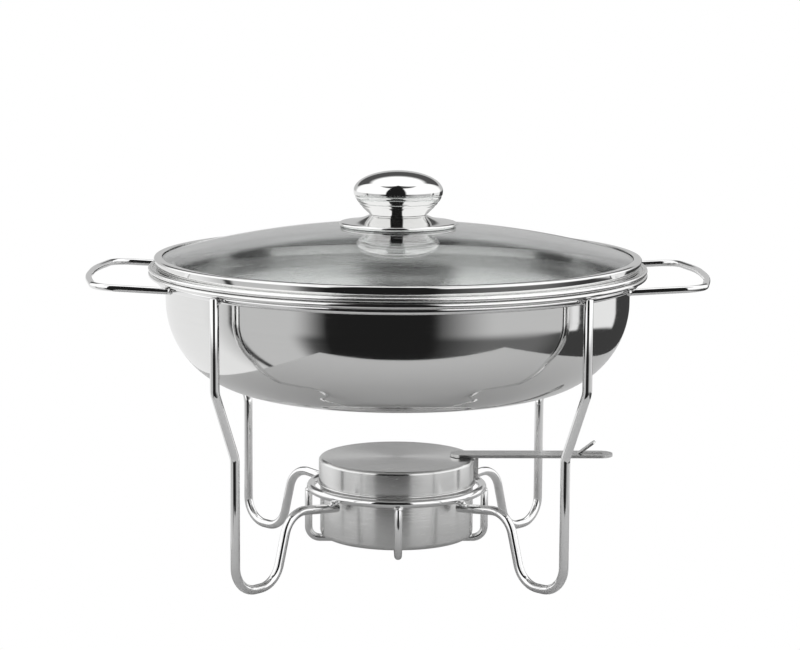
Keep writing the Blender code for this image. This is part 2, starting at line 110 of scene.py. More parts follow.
WIRE_R = 0.00275
TOP_RING_Z = (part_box("top_ring")[0].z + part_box("top_ring")[1].z) / 2
TOP_RING_R = WATER_WALL_R + GAP + WIRE_R
LEG_UPPER_R = TOP_RING_R + 2 * WIRE_R + GAP
LEG_TOP_Z = WATER_RIM_TOP - 2 * WATER_BEAD_R - GAP
LEG_LOWER_R = 0.1335
LEG_UPPER_BEND_Z = 0.1218
LEG_LOWER_BEND_Z = 0.0821
LEG_KNEE_BEND = 0.0130
FOOT_BEND = 0.0155
FOOT_RISER_R = 0.1020
RISER_LEAN = 0.0114
RISER_BEND = 0.0155
LEG_END_R = 0.0510
LEG_END_FALL = 0.10
HANDLE_WIRE_R = 0.0020
HANDLE_REACH = 0.1868
HANDLE_HALF_WIDTH = 0.0620
HANDLE_BEND = 0.0140
HANDLE_BOW = 0.0080
HANDLE_TIP_HALF = 0.0200
HANDLE_TIP_BEND = 0.1500
HANDLE_Z = TOP_RING_Z - 0.00085
HANDLE_TILT = math.radians(3)

BURNER_RING_R = 0.0524
BURNER_RING_WIRE_R = 0.0025
BURNER_RING_Z = (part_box("burner_ring")[0].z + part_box("burner_ring")[1].z) / 2
CRADLE_WIRE_R = 0.0023
CRADLE_R = 0.0538
CRADLE_Z = 0.0136
CRADLE_BEND = 0.0070
CRADLE_JOGGLE = 0.0050

# Weld lumps: half sizes outwards, sideways and upwards.
LEG_WELD = (0.0016, 0.0030, 0.0022)
LEG_WELD_Z = TOP_RING_Z - 0.0004
LEG_END_WELD = (0.0030, 0.0026, 0.0015)
LEG_END_WELD_R = BURNER_RING_R + 0.0012
HANDLE_WELD = (0.0019, 0.0026, 0.0021)
CRADLE_WELD = (0.0021, 0.0030, 0.0014)
CROSSING_WELD = (0.0027, 0.0027, 0.0011)
WELD_LUMPINESS = 0.14

CUP_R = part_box("burner_cup")[1].x
CUP_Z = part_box("burner_cup")[0].z
CUP_TOP_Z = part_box("burner_cup")[1].z
CUP_CORNER_R = 0.0030
CUP_SHEET = 0.0008
CAP_R = 0.0476
CAP_SKIRT_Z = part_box("snuffer_cap")[0].z
CAP_TOP_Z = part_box("snuffer_cap")[1].z
CAP_CORNER_R = 0.0022
CAP_SHEET = 0.0006
CAP_BEAD_R = 0.0007
STRAP_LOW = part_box("handle_strap")[0]
STRAP_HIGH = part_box("handle_strap")[1]
STRAP_SHEET = 0.0018
TONGUE_ROOT_X = 0.1115
TONGUE_LENGTH = 0.0138
TONGUE_WIDTH = 0.0050
TONGUE_ANGLE = math.radians(37)
TONGUE_SHEET = STRAP_SHEET * 0.7
TONGUE_SQUARE = TONGUE_LENGTH * 0.85                   # its sides are straight as far as this
BRACKET_WIDTH = 0.0090
STRAP_EDGE_R = 0.00035
TONGUE_EDGE_R = 0.0002
BRACKET_EDGE_R = 0.0004

ROUND = 192                                            # steps round the pans, lid and rings
KNOB_ROUND = 128
SCREW_ROUND = 96
WIRE_SIDES = 20
BEND_STEPS = 16
WIRE_END_ROUNDING = 0.3                                # share of the wire's radius
ON_AXIS = 1e-6


# ---- Node helpers -------------------------------------------------------------------------------
class Graph:
    """Short calls for building one node tree."""

    def __init__(self, tree):
        self.tree = tree

    def node(self, kind, **settings):
        made = self.tree.nodes.new(kind)
        for key, value in settings.items():
            setattr(made, key, value)
        return made

    def feed(self, socket, value):
        """Link a socket to another, or set it to a constant."""
        if isinstance(value, bpy.types.NodeSocket):
            self.tree.links.new(value, socket)
        else:
            socket.default_value = value

    def math(self, operation, a, b=0.0):
        made = self.node("ShaderNodeMath", operation=operation)
        self.feed(made.inputs[0], a)
        self.feed(made.inputs[1], b)
        return made.outputs[0]

    def ramp(self, value, low, high, out_low=0.0, out_high=1.0):
        """Smooth step from out_low to out_high as value goes from low to high."""
        made = self.node("ShaderNodeMapRange", interpolation_type="SMOOTHSTEP")
        for socket, item in zip(made.inputs, (value, low, high, out_low, out_high)):
            self.feed(socket, item)
        return made.outputs[0]

    def band(self, value, low, high, soft_low, soft_high):
        """1 between low and high, 0 outside, with the two ends as soft as they say."""
        rise = self.ramp(value, low - soft_low / 2, low + soft_low / 2)
        fall = self.ramp(value, high - soft_high / 2, high + soft_high / 2, 1.0, 0.0)
        return self.math("MULTIPLY", rise, fall)

    def blend(self, share, a, b):
        """a where share is 0, b where it is 1."""
        made = self.node("ShaderNodeMix", data_type="FLOAT")
        self.feed(made.inputs[0], share)
        self.feed(made.inputs[2], a)
        self.feed(made.inputs[3], b)
        return made.outputs[0]

    def noise(self, vector, scale, detail, roughness=0.5):
        made = self.node("ShaderNodeTexNoise")
        self.tree.links.new(vector, made.inputs["Vector"])
        made.inputs["Scale"].default_value = scale
        made.inputs["Detail"].default_value = detail
        made.inputs["Roughness"].default_value = roughness
        return made.outputs[0]

    def stretched(self, vector, factors):
        """Coordinates scaled along x, y and z, so a texture on them becomes streaks."""
        made = self.node("ShaderNodeVectorMath", operation="MULTIPLY")
        self.tree.links.new(vector, made.inputs[0])
        made.inputs[1].default_value = factors
        return made.outputs[0]


def start_material(name):
    """A new material with its node graph, its shader and the object's coordinates."""
    mat = bpy.data.materials.new(name)
    mat.use_nodes = True
    graph = Graph(mat.node_tree)
    shader = mat.node_tree.nodes["Principled BSDF"]
    place = graph.node("ShaderNodeTexCoord").outputs["Object"]
    return mat, graph, shader, place


def add_bump(graph, shader, height, strength, distance):
    bump = graph.node("ShaderNodeBump")
    bump.inputs["Strength"].default_value = strength
    bump.inputs["Distance"].default_value = distance
    graph.tree.links.new(height, bump.inputs["Height"])
    graph.tree.links.new(bump.outputs[0], shader.inputs["Normal"])


def lathe_lines(graph, place, along, across):
    """Coordinates that stretch a texture round the centre line, with no seam.

    They run from 0 to along round a turn, and by across for each metre up or outwards.
    """
    split = graph.node("ShaderNodeSeparateXYZ")
    graph.tree.links.new(place, split.inputs[0])
    x, y, z = split.outputs
    radius = graph.math("SQRT", graph.math("ADD", graph.math("MULTIPLY", x, x),
                                           graph.math("MULTIPLY", y, y)))
    divisor = graph.math("MAXIMUM", radius, 0.0005)
    joined = graph.node("ShaderNodeCombineXYZ")
    for socket, part in zip(joined.inputs, (x, y)):
        graph.feed(socket, graph.math("MULTIPLY", graph.math("DIVIDE", part, divisor), along))
    graph.feed(joined.inputs[2], graph.math("MULTIPLY", graph.math("ADD", z, radius), across))
    return joined.outputs[0]


def steel(name, tone, rough, spread, lines, bump, anisotropy=0.0, turned_lines=True):
    """Bare steel: brushing or polishing lines, cloudy handling marks and fine scratches."""
    mat, graph, shader, place = start_material(name)
    if turned_lines:
        grain = graph.noise(lathe_lines(graph, place, 2.5, lines), 1.0, 3.0, 0.6)
    else:
        grain = graph.noise(graph.stretched(place, (40.0, lines, lines)), 1.0, 3.0, 0.6)
    clouds = graph.noise(place, 38.0, 4.0, 0.6)
    scratch_space = graph.stretched(place, (190.0, 2300.0, 900.0))
    scratches = graph.ramp(graph.noise(scratch_space, 1.0, 2.0), 0.66, 0.74)
    mixed = graph.math("ADD", graph.math("MULTIPLY", grain, 0.7),
                       graph.math("MULTIPLY", clouds, 0.3))
    roughness = graph.ramp(mixed, 0.3, 0.7, rough - spread, rough + spread)
    marked = graph.math("ADD", roughness, graph.math("MULTIPLY", scratches, spread))
    graph.feed(shader.inputs["Roughness"], marked)
    shade = graph.node("ShaderNodeMix", data_type="RGBA")
    graph.feed(shade.inputs[0], mixed)
    shade.inputs[6].default_value = (*[c * 0.94 for c in tone], 1.0)
    shade.inputs[7].default_value = (*tone, 1.0)
    graph.tree.links.new(shade.outputs[2], shader.inputs["Base Color"])
    shader.inputs["Metallic"].default_value = 1.0
    if anisotropy:
        shader.inputs["Anisotropic"].default_value = anisotropy
        shader.inputs["Anisotropic Rotation"].default_value = 0.25
        tangent = graph.node("ShaderNodeTangent", direction_type="RADIAL", axis="Z")
        graph.tree.links.new(tangent.outputs[0], shader.inputs["Tangent"])
    add_bump(graph, shader, grain, bump, 0.00002)
    return mat


def chrome(name):
    """Bright plating over drawn wire, with faint orange peel and specks."""
    mat, graph, shader, place = start_material(name)
    peel = graph.noise(place, 900.0, 3.0)
    clouds = graph.noise(place, 60.0, 3.0)
    graph.feed(shader.inputs["Roughness"], graph.ramp(clouds, 0.3, 0.7, 0.03, 0.09))
    specks = graph.ramp(graph.noise(place, 1500.0, 1.0), 0.70, 0.78, 0.86, 0.62)
    tone = graph.node("ShaderNodeCombineColor")
    for socket in tone.inputs[:3]:
        graph.feed(socket, specks)
    graph.tree.links.new(tone.outputs[0], shader.inputs["Base Color"])
    shader.inputs["Metallic"].default_value = 1.0
    add_bump(graph, shader, peel, 0.10, 0.00003)
    return mat


def glass(name):
    """Clear tempered glass with a faint waviness and thin smears."""
    mat, graph, shader, place = start_material(name)
    shader.inputs["Base Color"].default_value = (0.96, 0.975, 0.97, 1.0)
    shader.inputs["Transmission Weight"].default_value = 1.0
    shader.inputs["IOR"].default_value = 1.50
    smears = graph.noise(graph.stretched(place, (9.0, 26.0, 9.0)), 1.0, 4.0, 0.6)
    graph.feed(shader.inputs["Roughness"], graph.ramp(smears, 0.45, 0.75, 0.0, 0.035))
    add_bump(graph, shader, graph.noise(place, 14.0, 1.0), 0.05, 0.0004)
    return mat


def moulded(name, tone, rough, grain_scale, bump):
    """Black moulded plastic or rubber with a fine moulded grain."""
    mat, graph, shader, place = start_material(name)
    grain = graph.noise(place, grain_scale, 4.0, 0.65)
    shade = graph.node("ShaderNodeMix", data_type="RGBA")
    graph.feed(shade.inputs[0], grain)
    shade.inputs[6].default_value = (tone, tone, tone, 1.0)
    shade.inputs[7].default_value = (tone * 1.8, tone * 1.8, tone * 1.75, 1.0)
    graph.tree.links.new(shade.outputs[2], shader.inputs["Base Color"])
    graph.feed(shader.inputs["Roughness"], graph.ramp(grain, 0.3, 0.7, rough - 0.1, rough + 0.1))
    add_bump(graph, shader, grain, bump, 0.00006)
    return mat


PAN_STEEL = steel("pan_steel", (0.86, 0.86, 0.855), rough=0.070, spread=0.030,
                  lines=900.0, bump=0.05)
FOOD_STEEL = steel("food_pan_steel", (0.92, 0.92, 0.915), rough=0.24, spread=0.05,
                   lines=700.0, bump=0.06)
LID_STEEL = steel("lid_steel", (0.87, 0.87, 0.865), rough=0.060, spread=0.025,
                  lines=1400.0, bump=0.05)
CUP_STEEL = steel("cup_steel", (0.77, 0.77, 0.765), rough=0.23, spread=0.05,
                  lines=5200.0, bump=0.22, anisotropy=0.85)
CAP_STEEL = steel("cap_steel", (0.80, 0.80, 0.795), rough=0.21, spread=0.05,
                  lines=5200.0, bump=0.20, anisotropy=0.85)
STRAP_STEEL = steel("strap_steel", (0.74, 0.74, 0.735), rough=0.24, spread=0.06,
                    lines=3200.0, bump=0.20, turned_lines=False)
CHROME = chrome("chromed_wire")
GLASS = glass("lid_glass")
PLASTIC = moulded("knob_plastic", tone=0.018, rough=0.42, grain_scale=700.0, bump=0.25)
RUBBER = moulded("seal_rubber", tone=0.022, rough=0.62, grain_scale=1100.0, bump=0.35)


# ---- Mesh helpers -------------------------------------------------------------------------------
def finish_piece(name, bm, material, body, nodes):
    """Turn a bmesh into a piece of the object that rides on a body and stands for CAD nodes."""
    bmesh.ops.recalc_face_normals(bm, faces=bm.faces)
    mesh = bpy.data.meshes.new(name)
    bm.to_mesh(mesh)
    bm.free()
    mesh.shade_smooth()
    mesh.set_sharp_from_angle(angle=math.radians(40))
    mesh.materials.append(material)
    obj = bpy.data.objects.new(name, mesh)
    bpy.context.scene.collection.objects.link(obj)
    if nodes:
        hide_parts(*nodes)
    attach(obj, body)
    return obj


def arc(centre, radius, start_deg, end_deg, steps):
    """Points along part of a circle, both ends included."""
    points = []
    for i in range(steps + 1):
        angle = math.radians(start_deg + (end_deg - start_deg) * i / steps)
        points.append((centre[0] + radius * math.cos(angle), centre[1] + radius * math.sin(angle)))
    return points


def curve(points, steps):
    """Quadratic Bezier through three control points, both ends included."""
    (ax, ay), (bx, by), (cx, cy) = points
    made = []
    for i in range(steps + 1):
        t = i / steps
        u = 1 - t
        made.append((u * u * ax + 2 * u * t * bx + t * t * cx,
                     u * u * ay + 2 * u * t * by + t * t * cy))
    return made


def revolve(outline, steps):
    """Closed solid of a closed (r, z) outline turned round the centre line."""
    bm = bmesh.new()
    columns = []
    for r, z in outline:
        if r < ON_AXIS:
            columns.append([bm.verts.new((0, 0, z))] * steps)
            continue
        columns.append([bm.verts.new((r * math.cos(2 * math.pi * i / steps),
                                      r * math.sin(2 * math.pi * i / steps), z))
                        for i in range(steps)])
    for a, b in zip(columns, columns[1:] + columns[:1]):
        for i in range(steps):
            j = (i + 1) % steps
            corners = list(dict.fromkeys((a[i], a[j], b[j], b[i])))
            if len(corners) > 2:
                bm.faces.new(corners)
    return bm


def turned(name, outline, steps, material, body, slot, *nodes):
    return finish_piece(name, revolve(outline, steps), material, body, nodes)


def rounded_path(corners, bends, steps=BEND_STEPS):
    """A 2-D path through corners, with the inner corners rounded to the given radii."""
    path = [Vector(corners[0])]
    for before, corner, after, radius in zip(corners, corners[1:], corners[2:], bends):
        corner = Vector(corner)
        back = (Vector(before) - corner).normalized()
        ahead = (Vector(after) - corner).normalized()
        half = back.angle(ahead) / 2
        centre = corner + (back + ahead).normalized() * radius / math.sin(half)
        start = corner + back * radius / math.tan(half) - centre
        finish = corner + ahead * radius / math.tan(half) - centre
        sweep = start.angle_signed(finish)
        for i in range(steps + 1):
            angle = -sweep * i / steps
            path.append(centre + Vector((start.x * math.cos(angle) - start.y * math.sin(angle),
                                         start.x * math.sin(angle) + start.y * math.cos(angle))))
    path.append(Vector(corners[-1]))
    return path


def sweep_wire(path, radius, side):
    """Round wire along a flat 3-D path, with softly rounded cut ends; side is across its plane."""
    bm = bmesh.new()
    path = [p for i, p in enumerate(path) if i == 0 or (p - path[i - 1]).length > 1e-7]
    rings = []
    for i, point in enumerate(path):
        ahead = path[min(i + 1, len(path) - 1)] - point
        behind = point - path[max(i - 1, 0)]
        ahead = ahead if ahead.length else behind
        behind = behind if behind.length else ahead
        tangent = (ahead.normalized() + behind.normalized()).normalized()
        across = tangent.cross(side).normalized()
        rings.append((point, across, radius, tangent))
    chamfer = radius * WIRE_END_ROUNDING
    first, last = rings[0], rings[-1]
    rings[0] = (first[0] + first[3] * chamfer, first[1], radius, first[3])
    rings[-1] = (last[0] - last[3] * chamfer, last[1], radius, last[3])
    for share in (0.5, 1.0):
        inset = 1 - math.sqrt(1 - share ** 2)
        shrunk = radius - chamfer * inset
        rings.insert(0, (first[0] + first[3] * chamfer * (1 - share), first[1], shrunk, first[3]))
        rings.append((last[0] - last[3] * chamfer * (1 - share), last[1], shrunk, last[3]))
    loops = []
    for point, across, size, _ in rings:
        loops.append([bm.verts.new(point + (across * math.cos(a) + side * math.sin(a)) * size)
                      for a in (2 * math.pi * k / WIRE_SIDES for k in range(WIRE_SIDES))])
    for a, b in zip(loops, loops[1:]):
        for k in range(WIRE_SIDES):
            j = (k + 1) % WIRE_SIDES
            bm.faces.new((a[k], a[j], b[j], b[k]))
    bm.faces.new(loops[0][::-1])
    bm.faces.new(loops[-1])
    return bm


def wire(name, path, radius, side, *nodes):
    return finish_piece(name, sweep_wire(path, radius, side), CHROME, "stand",
                        nodes)


def wire_ring(name, ring_r, z, wire_r, *nodes):
    outline = arc((ring_r, z), wire_r, 0, 360, WIRE_SIDES)[:-1]
    return turned(name, outline, ROUND, CHROME, "stand", "chromed_wire", *nodes)


def nuggets(name, spots):
    """Resistance welds: small lumps of squeezed metal, each (centre, outwards, half sizes)."""
    bm = bmesh.new()
    for centre, along, sizes in spots:
        made = bmesh.ops.create_icosphere(bm, subdivisions=4, radius=1.0)["verts"]
        along = along.normalized()
        side = Vector((0, 0, 1)).cross(along).normalized()
        for v in made:
            lump = 1 + WELD_LUMPINESS * noise.noise(v.co * 2.3 + centre * 900)
            local = v.co * lump
            v.co = (centre + along * local.x * sizes[0] + side * local.y * sizes[1]
                    + Vector((0, 0, local.z * sizes[2])))
    return finish_piece(name, bm, CHROME, "stand", ())


# ---- Stand --------------------------------------------------------------------------------------
def leg_end_z(r):
    """Height of a leg's inner end, which runs in under the burner ring."""
    drop = BURNER_RING_WIRE_R + WIRE_R + 1.5 * GAP
    return BURNER_RING_Z - drop + LEG_END_FALL * (r - BURNER_RING_R)


def make_leg(name, heading_deg):
    heading = math.radians(heading_deg)
    outwards = Vector((math.cos(heading), math.sin(heading), 0))
    side = outwards.cross(Vector((0, 0, 1)))
    riser_top_r = FOOT_RISER_R - RISER_LEAN
    corners = [
        (LEG_UPPER_R, LEG_TOP_Z),
        (LEG_UPPER_R, LEG_UPPER_BEND_Z),
        (LEG_LOWER_R, LEG_LOWER_BEND_Z),
        (LEG_LOWER_R, WIRE_R),
        (FOOT_RISER_R, WIRE_R),
        (riser_top_r, leg_end_z(riser_top_r)),
        (LEG_END_R, leg_end_z(LEG_END_R)),
    ]
    bends = [LEG_KNEE_BEND, LEG_KNEE_BEND, FOOT_BEND, FOOT_BEND, RISER_BEND]
    path = [outwards * p.x + Vector((0, 0, p.y)) for p in rounded_path(corners, bends)]
    wire(name + "_wire", path, WIRE_R, side, name)


def handle_end_x():
    """Where a handle's cut end meets the outside of the top ring."""
    inner_edge = HANDLE_HALF_WIDTH - HANDLE_WIRE_R
    return math.sqrt((TOP_RING_R + WIRE_R) ** 2 - inner_edge ** 2) + GAP


def make_handle(name, direction):
    end_x = handle_end_x()
    reach = (HANDLE_REACH - HANDLE_WIRE_R - end_x) / math.cos(HANDLE_TILT)
    corner = reach - HANDLE_BOW
    corners = [(0, -HANDLE_HALF_WIDTH), (corner, -HANDLE_HALF_WIDTH), (reach, -HANDLE_TIP_HALF),
               (reach, HANDLE_TIP_HALF), (corner, HANDLE_HALF_WIDTH), (0, HANDLE_HALF_WIDTH)]
    bends = [HANDLE_BEND, HANDLE_TIP_BEND, HANDLE_TIP_BEND, HANDLE_BEND]
    along = Vector((direction * math.cos(HANDLE_TILT), 0, math.sin(HANDLE_TILT)))
    start = Vector((direction * end_x, 0, HANDLE_Z))
    path = [start + along * p.x + Vector((0, p.y, 0))
            for p in rounded_path(corners, bends)]
    wire(name + "_wire", path, HANDLE_WIRE_R, along.cross(Vector((0, direction, 0))), name)


def make_cradle(name, along, joggle):
    side = along.cross(Vector((0, 0, 1)))
    top_z = BURNER_RING_Z - BURNER_RING_WIRE_R - GAP
    corners = [(-CRADLE_R, top_z), (-CRADLE_R, CRADLE_Z)]
    bends = [CRADLE_BEND]
    if joggle:
        dip_start = 6 * CRADLE_WIRE_R
        dip_end = 3 * CRADLE_WIRE_R
        corners += [(-dip_start, CRADLE_Z), (-dip_end, CRADLE_Z - joggle),
                    (dip_end, CRADLE_Z - joggle), (dip_start, CRADLE_Z)]
        bends += [joggle] * 4
    corners += [(CRADLE_R, CRADLE_Z), (CRADLE_R, top_z)]
    bends += [CRADLE_BEND]
    path = [along * p.x + Vector((0, 0, p.y)) for p in rounded_path(corners, bends)]
    wire(name + "_bent", path, CRADLE_WIRE_R, side, name)


def make_stand():
    wire_ring("top_ring_wire", TOP_RING_R, TOP_RING_Z, WIRE_R, "top_ring")
    wire_ring("burner_ring_wire", BURNER_RING_R, BURNER_RING_Z, BURNER_RING_WIRE_R,
              "burner_ring")
    leg_headings = {"leg_front_left": 225, "leg_front_right": 315,
                    "leg_rear_right": 45, "leg_rear_left": 135}
    for name, heading in leg_headings.items():
        make_leg(name, heading)
    make_handle("handle_left", -1)
    make_handle("handle_right", 1)
    make_cradle("cradle_wire_lengthwise", Vector((0, 1, 0)), 0)
    make_cradle("cradle_wire_crosswise", Vector((1, 0, 0)), CRADLE_JOGGLE)

    upper = []
    lower = []
    ring_low_z = BURNER_RING_Z - BURNER_RING_WIRE_R
    for heading in leg_headings.values():
        out = Vector((math.cos(math.radians(heading)), math.sin(math.radians(heading)), 0))
        upper.append((out * (TOP_RING_R + WIRE_R) + Vector((0, 0, LEG_WELD_Z)), out, LEG_WELD))
        lower.append((out * LEG_END_WELD_R + Vector((0, 0, ring_low_z)), out, LEG_END_WELD))
    for x in (-1, 1):
        for y in (-1, 1):
            spot = Vector((x * handle_end_x(), y * HANDLE_HALF_WIDTH, HANDLE_Z))
            upper.append((spot, Vector((x, 0, 0)), HANDLE_WELD))
    for out in (Vector((1, 0, 0)), Vector((-1, 0, 0)), Vector((0, 1, 0)), Vector((0, -1, 0))):
        lower.append((out * CRADLE_R + Vector((0, 0, ring_low_z)), out, CRADLE_WELD))
    crossing = Vector((0, 0, CRADLE_Z - CRADLE_JOGGLE / 2))
    lower.append((crossing, Vector((1, 0, 0)), CROSSING_WELD))
    nuggets("top_ring_welds", upper)
    nuggets("burner_ring_welds", lower)


# ---- Pans ---------------------------------------------------------------------------------------
def pan_outline(wall_r, floor_z, corner_r, sheet, flange_top, rim_top, bead_r):
    """Section of a sheet-steel bowl: round corner, wall, flat flange and rolled rim."""
    bead = (PAN_RIM_R - bead_r, rim_top - bead_r)
    flange_under = flange_top - sheet
    shoulder = FLANGE_SHOULDER_R
    meet_low = -180 + math.degrees(math.asin(max(-1, min(1, (bead[1] - flange_under) / bead_r))))
    meet_high = 180 - math.degrees(math.asin(max(-1, min(1, (flange_top - bead[1]) / bead_r))))
    corner = (wall_r - corner_r, floor_z + corner_r)
    outline = [(0, floor_z)]
    outline += arc(corner, corner_r, -90, 0, 40)
    outline += [(wall_r, flange_under)]
    outline += arc(bead, bead_r, meet_low, meet_high, 24)
    outline += arc((wall_r - sheet + shoulder, flange_top - shoulder), shoulder, 90, 180, 8)
    outline += arc(corner, corner_r - sheet, 0, -90, 40)
    outline += [(0, floor_z + sheet)]
    return outline


def make_pans():
    turned("water_pan_shell",
           pan_outline(WATER_WALL_R, WATER_FLOOR_Z, WATER_CORNER_R, WATER_SHEET,
                       WATER_FLANGE_TOP, WATER_RIM_TOP, WATER_BEAD_R),
           ROUND, PAN_STEEL, "water_pan_body", "polished_pan_steel", "water_pan")
    turned("food_pan_shell",
           pan_outline(FOOD_WALL_R, FOOD_FLOOR_Z, FOOD_CORNER_R, FOOD_SHEET,
                       FOOD_FLANGE_TOP, FOOD_RIM_TOP, FOOD_BEAD_R),
           ROUND, FOOD_STEEL, "food_pan_body", "polished_pan_steel", "food_pan")


# ---- Lid ----------------------------------------------------------------------------------------
def dome_z(r, depth=0.0):
    """Height of the glass at radius r, depth below its upper face."""
    drop = GLASS_SPHERE_R - math.sqrt(GLASS_SPHERE_R ** 2 - r ** 2)
    return GLASS_APEX_Z - drop - depth


def lid_piece(name, outline, material, slot, *nodes, steps=KNOB_ROUND):
    turned(name, outline, steps, material, "lid", slot, *nodes)


def make_glass_and_band():
    radii = [GLASS_HOLE_R + (GLASS_EDGE_R - GLASS_HOLE_R) * i / 40 for i in range(41)]
    lid_piece("lid_glass_pane",
              [(r, dome_z(r)) for r in radii] + [(r, dome_z(r, GLASS_THICK)) for r in radii[::-1]],
              GLASS, "clear_glass", "glass_dome", steps=ROUND)
    inner = LOCATING_LIP_R - BAND_SHEET
    fold = BAND_TOP_FOLD_R
    low_fold = BAND_LOW_FOLD_R
    outline = [(inner, BAND_SKIRT_END), (LOCATING_LIP_R, BAND_SKIRT_END), (LOCATING_LIP_R, BAND_Z)]
    low_middle = (BAND_R - BAND_LEAN - low_fold, BAND_Z + low_fold)
    top_middle = (BAND_R - fold, BAND_TOP - fold)
    outline += arc(low_middle, low_fold, -90, 0, 10)
    outline += arc(top_middle, fold, 0, 90, 12)
    outline += arc((BAND_LIP_R, BAND_TOP - BAND_SHEET / 2), BAND_SHEET / 2, 90, 270, 8)
    outline += arc(top_middle, fold - BAND_SHEET, 90, 0, 8)
    outline += arc(low_middle, low_fold - BAND_SHEET, 0, -90, 8)
    outline += [(inner, BAND_Z + BAND_SHEET)]
    lid_piece("lid_band_folded", outline, LID_STEEL, "polished_lid_steel", "lid_band",
              steps=ROUND)


def ball_skin(inset):
    """Outside of the knob from its mouth to the crown, with three turned grooves."""
    points = []
    cheek = KNOB_WIDEST_Z - KNOB_MOUTH_Z
    for i in range(61):
        t = i / 60
        z = KNOB_MOUTH_Z + cheek * t
        r = KNOB_NECK_R + (KNOB_BALL_R - KNOB_NECK_R) * math.sin(t * math.pi / 2)
        groove = sum(KNOB_GROOVE_DEPTH * math.exp(-((z - g) / KNOB_GROOVE_HALF) ** 2)
                     for g in KNOB_GROOVES_Z)
        points.append((r - inset - groove, z))
    crown = KNOB_TOP_Z - KNOB_WIDEST_Z - inset
    for i in range(1, 32):
        angle = math.pi / 2 * i / 32
        points.append(((KNOB_BALL_R - inset) * math.cos(angle),
                       KNOB_WIDEST_Z + crown * math.sin(angle)))
    points.append((0, KNOB_TOP_Z - inset))
    return points


def make_knob():
    steel_slot = "polished_lid_steel"
    lid_piece("knob_ball_skin", ball_skin(0) + ball_skin(KNOB_SHEET)[::-1], LID_STEEL,
              steel_slot, "knob_ball")

    rim = SKIRT_RIM_R
    rim_r = KNOB_SKIRT_R - rim
    rim_z = KNOB_SKIRT_LOW + rim
    outside = curve([(rim_r, rim_z + rim), SKIRT_OUTER_PULL,
                     (KNOB_NECK_R, KNOB_SKIRT_TOP - SKIRT_SHOULDER)], 24)
    inside = curve([(KNOB_NECK_R - KNOB_SHEET, KNOB_SKIRT_TOP - KNOB_SHEET),
                    SKIRT_INNER_PULL, (rim_r, rim_z - rim)], 24)
    flare = [(BORE_R, KNOB_SKIRT_TOP - KNOB_SHEET)] + inside
    flare += arc((rim_r, rim_z), rim, -90, 90, 8)[1:-1] + outside
    flare += [(KNOB_NECK_R - SKIRT_SHOULDER, KNOB_SKIRT_TOP), (BORE_R, KNOB_SKIRT_TOP)]
    lid_piece("knob_skirt_flare", flare, LID_STEEL, steel_slot, "knob_skirt")

    for node, material, slot in (("upper_seal", RUBBER, "seal_rubber"),
                                 ("lower_seal", RUBBER, "seal_rubber"),
                                 ("knob_spacer", PLASTIC, "black_plastic")):
        low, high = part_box(node)
        edge = SEAL_EDGE_R
        outline = [(BORE_R, low.z), (high.x - edge, low.z)]
        outline += arc((high.x - edge, low.z + edge), edge, -90, 0, 5)[1:]
        outline += arc((high.x - edge, high.z - edge), edge, 0, 90, 5)
        outline += [(BORE_R, high.z)]
        lid_piece(node + "_moulded", outline, material, slot, node)
    low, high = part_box("knob_core")
    edge = CORE_EDGE_R
    screw_top = KNOB_WIDEST_Z + GAP
    core = [(BORE_R, low.z), (high.x - edge, low.z), (high.x, low.z + edge)]
    core += arc((high.x - edge, high.z - edge), edge, 0, 90, 5)
    core += [(0, high.z), (0, screw_top), (BORE_R, screw_top)]
    lid_piece("knob_core_moulded", core, PLASTIC, "black_plastic", "knob_core")

    low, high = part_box("clamp_dish")
    lip = KNOB_SHEET / 2
    bend = CLAMP_DISH_BEND
    dish = [(BORE_R, high.z - KNOB_SHEET), (CLAMP_DISH_TOP_R - bend, high.z - KNOB_SHEET)]
    dish += curve([dish[-1], (CLAMP_DISH_TOP_R - lip, high.z - KNOB_SHEET),
                   (CLAMP_DISH_R - KNOB_SHEET, low.z + lip)], 16)[1:]
    dish += arc((CLAMP_DISH_R - lip, low.z + lip), lip, 180, 360, 8)[1:]
    dish += curve([(CLAMP_DISH_R, low.z + lip), (CLAMP_DISH_TOP_R, high.z),
                   (CLAMP_DISH_TOP_R - bend, high.z)], 16)[1:]
    dish += [(BORE_R, high.z)]
    lid_piece("clamp_dish_pressed", dish, LID_STEEL, steel_slot, "clamp_dish")
    make_screw()


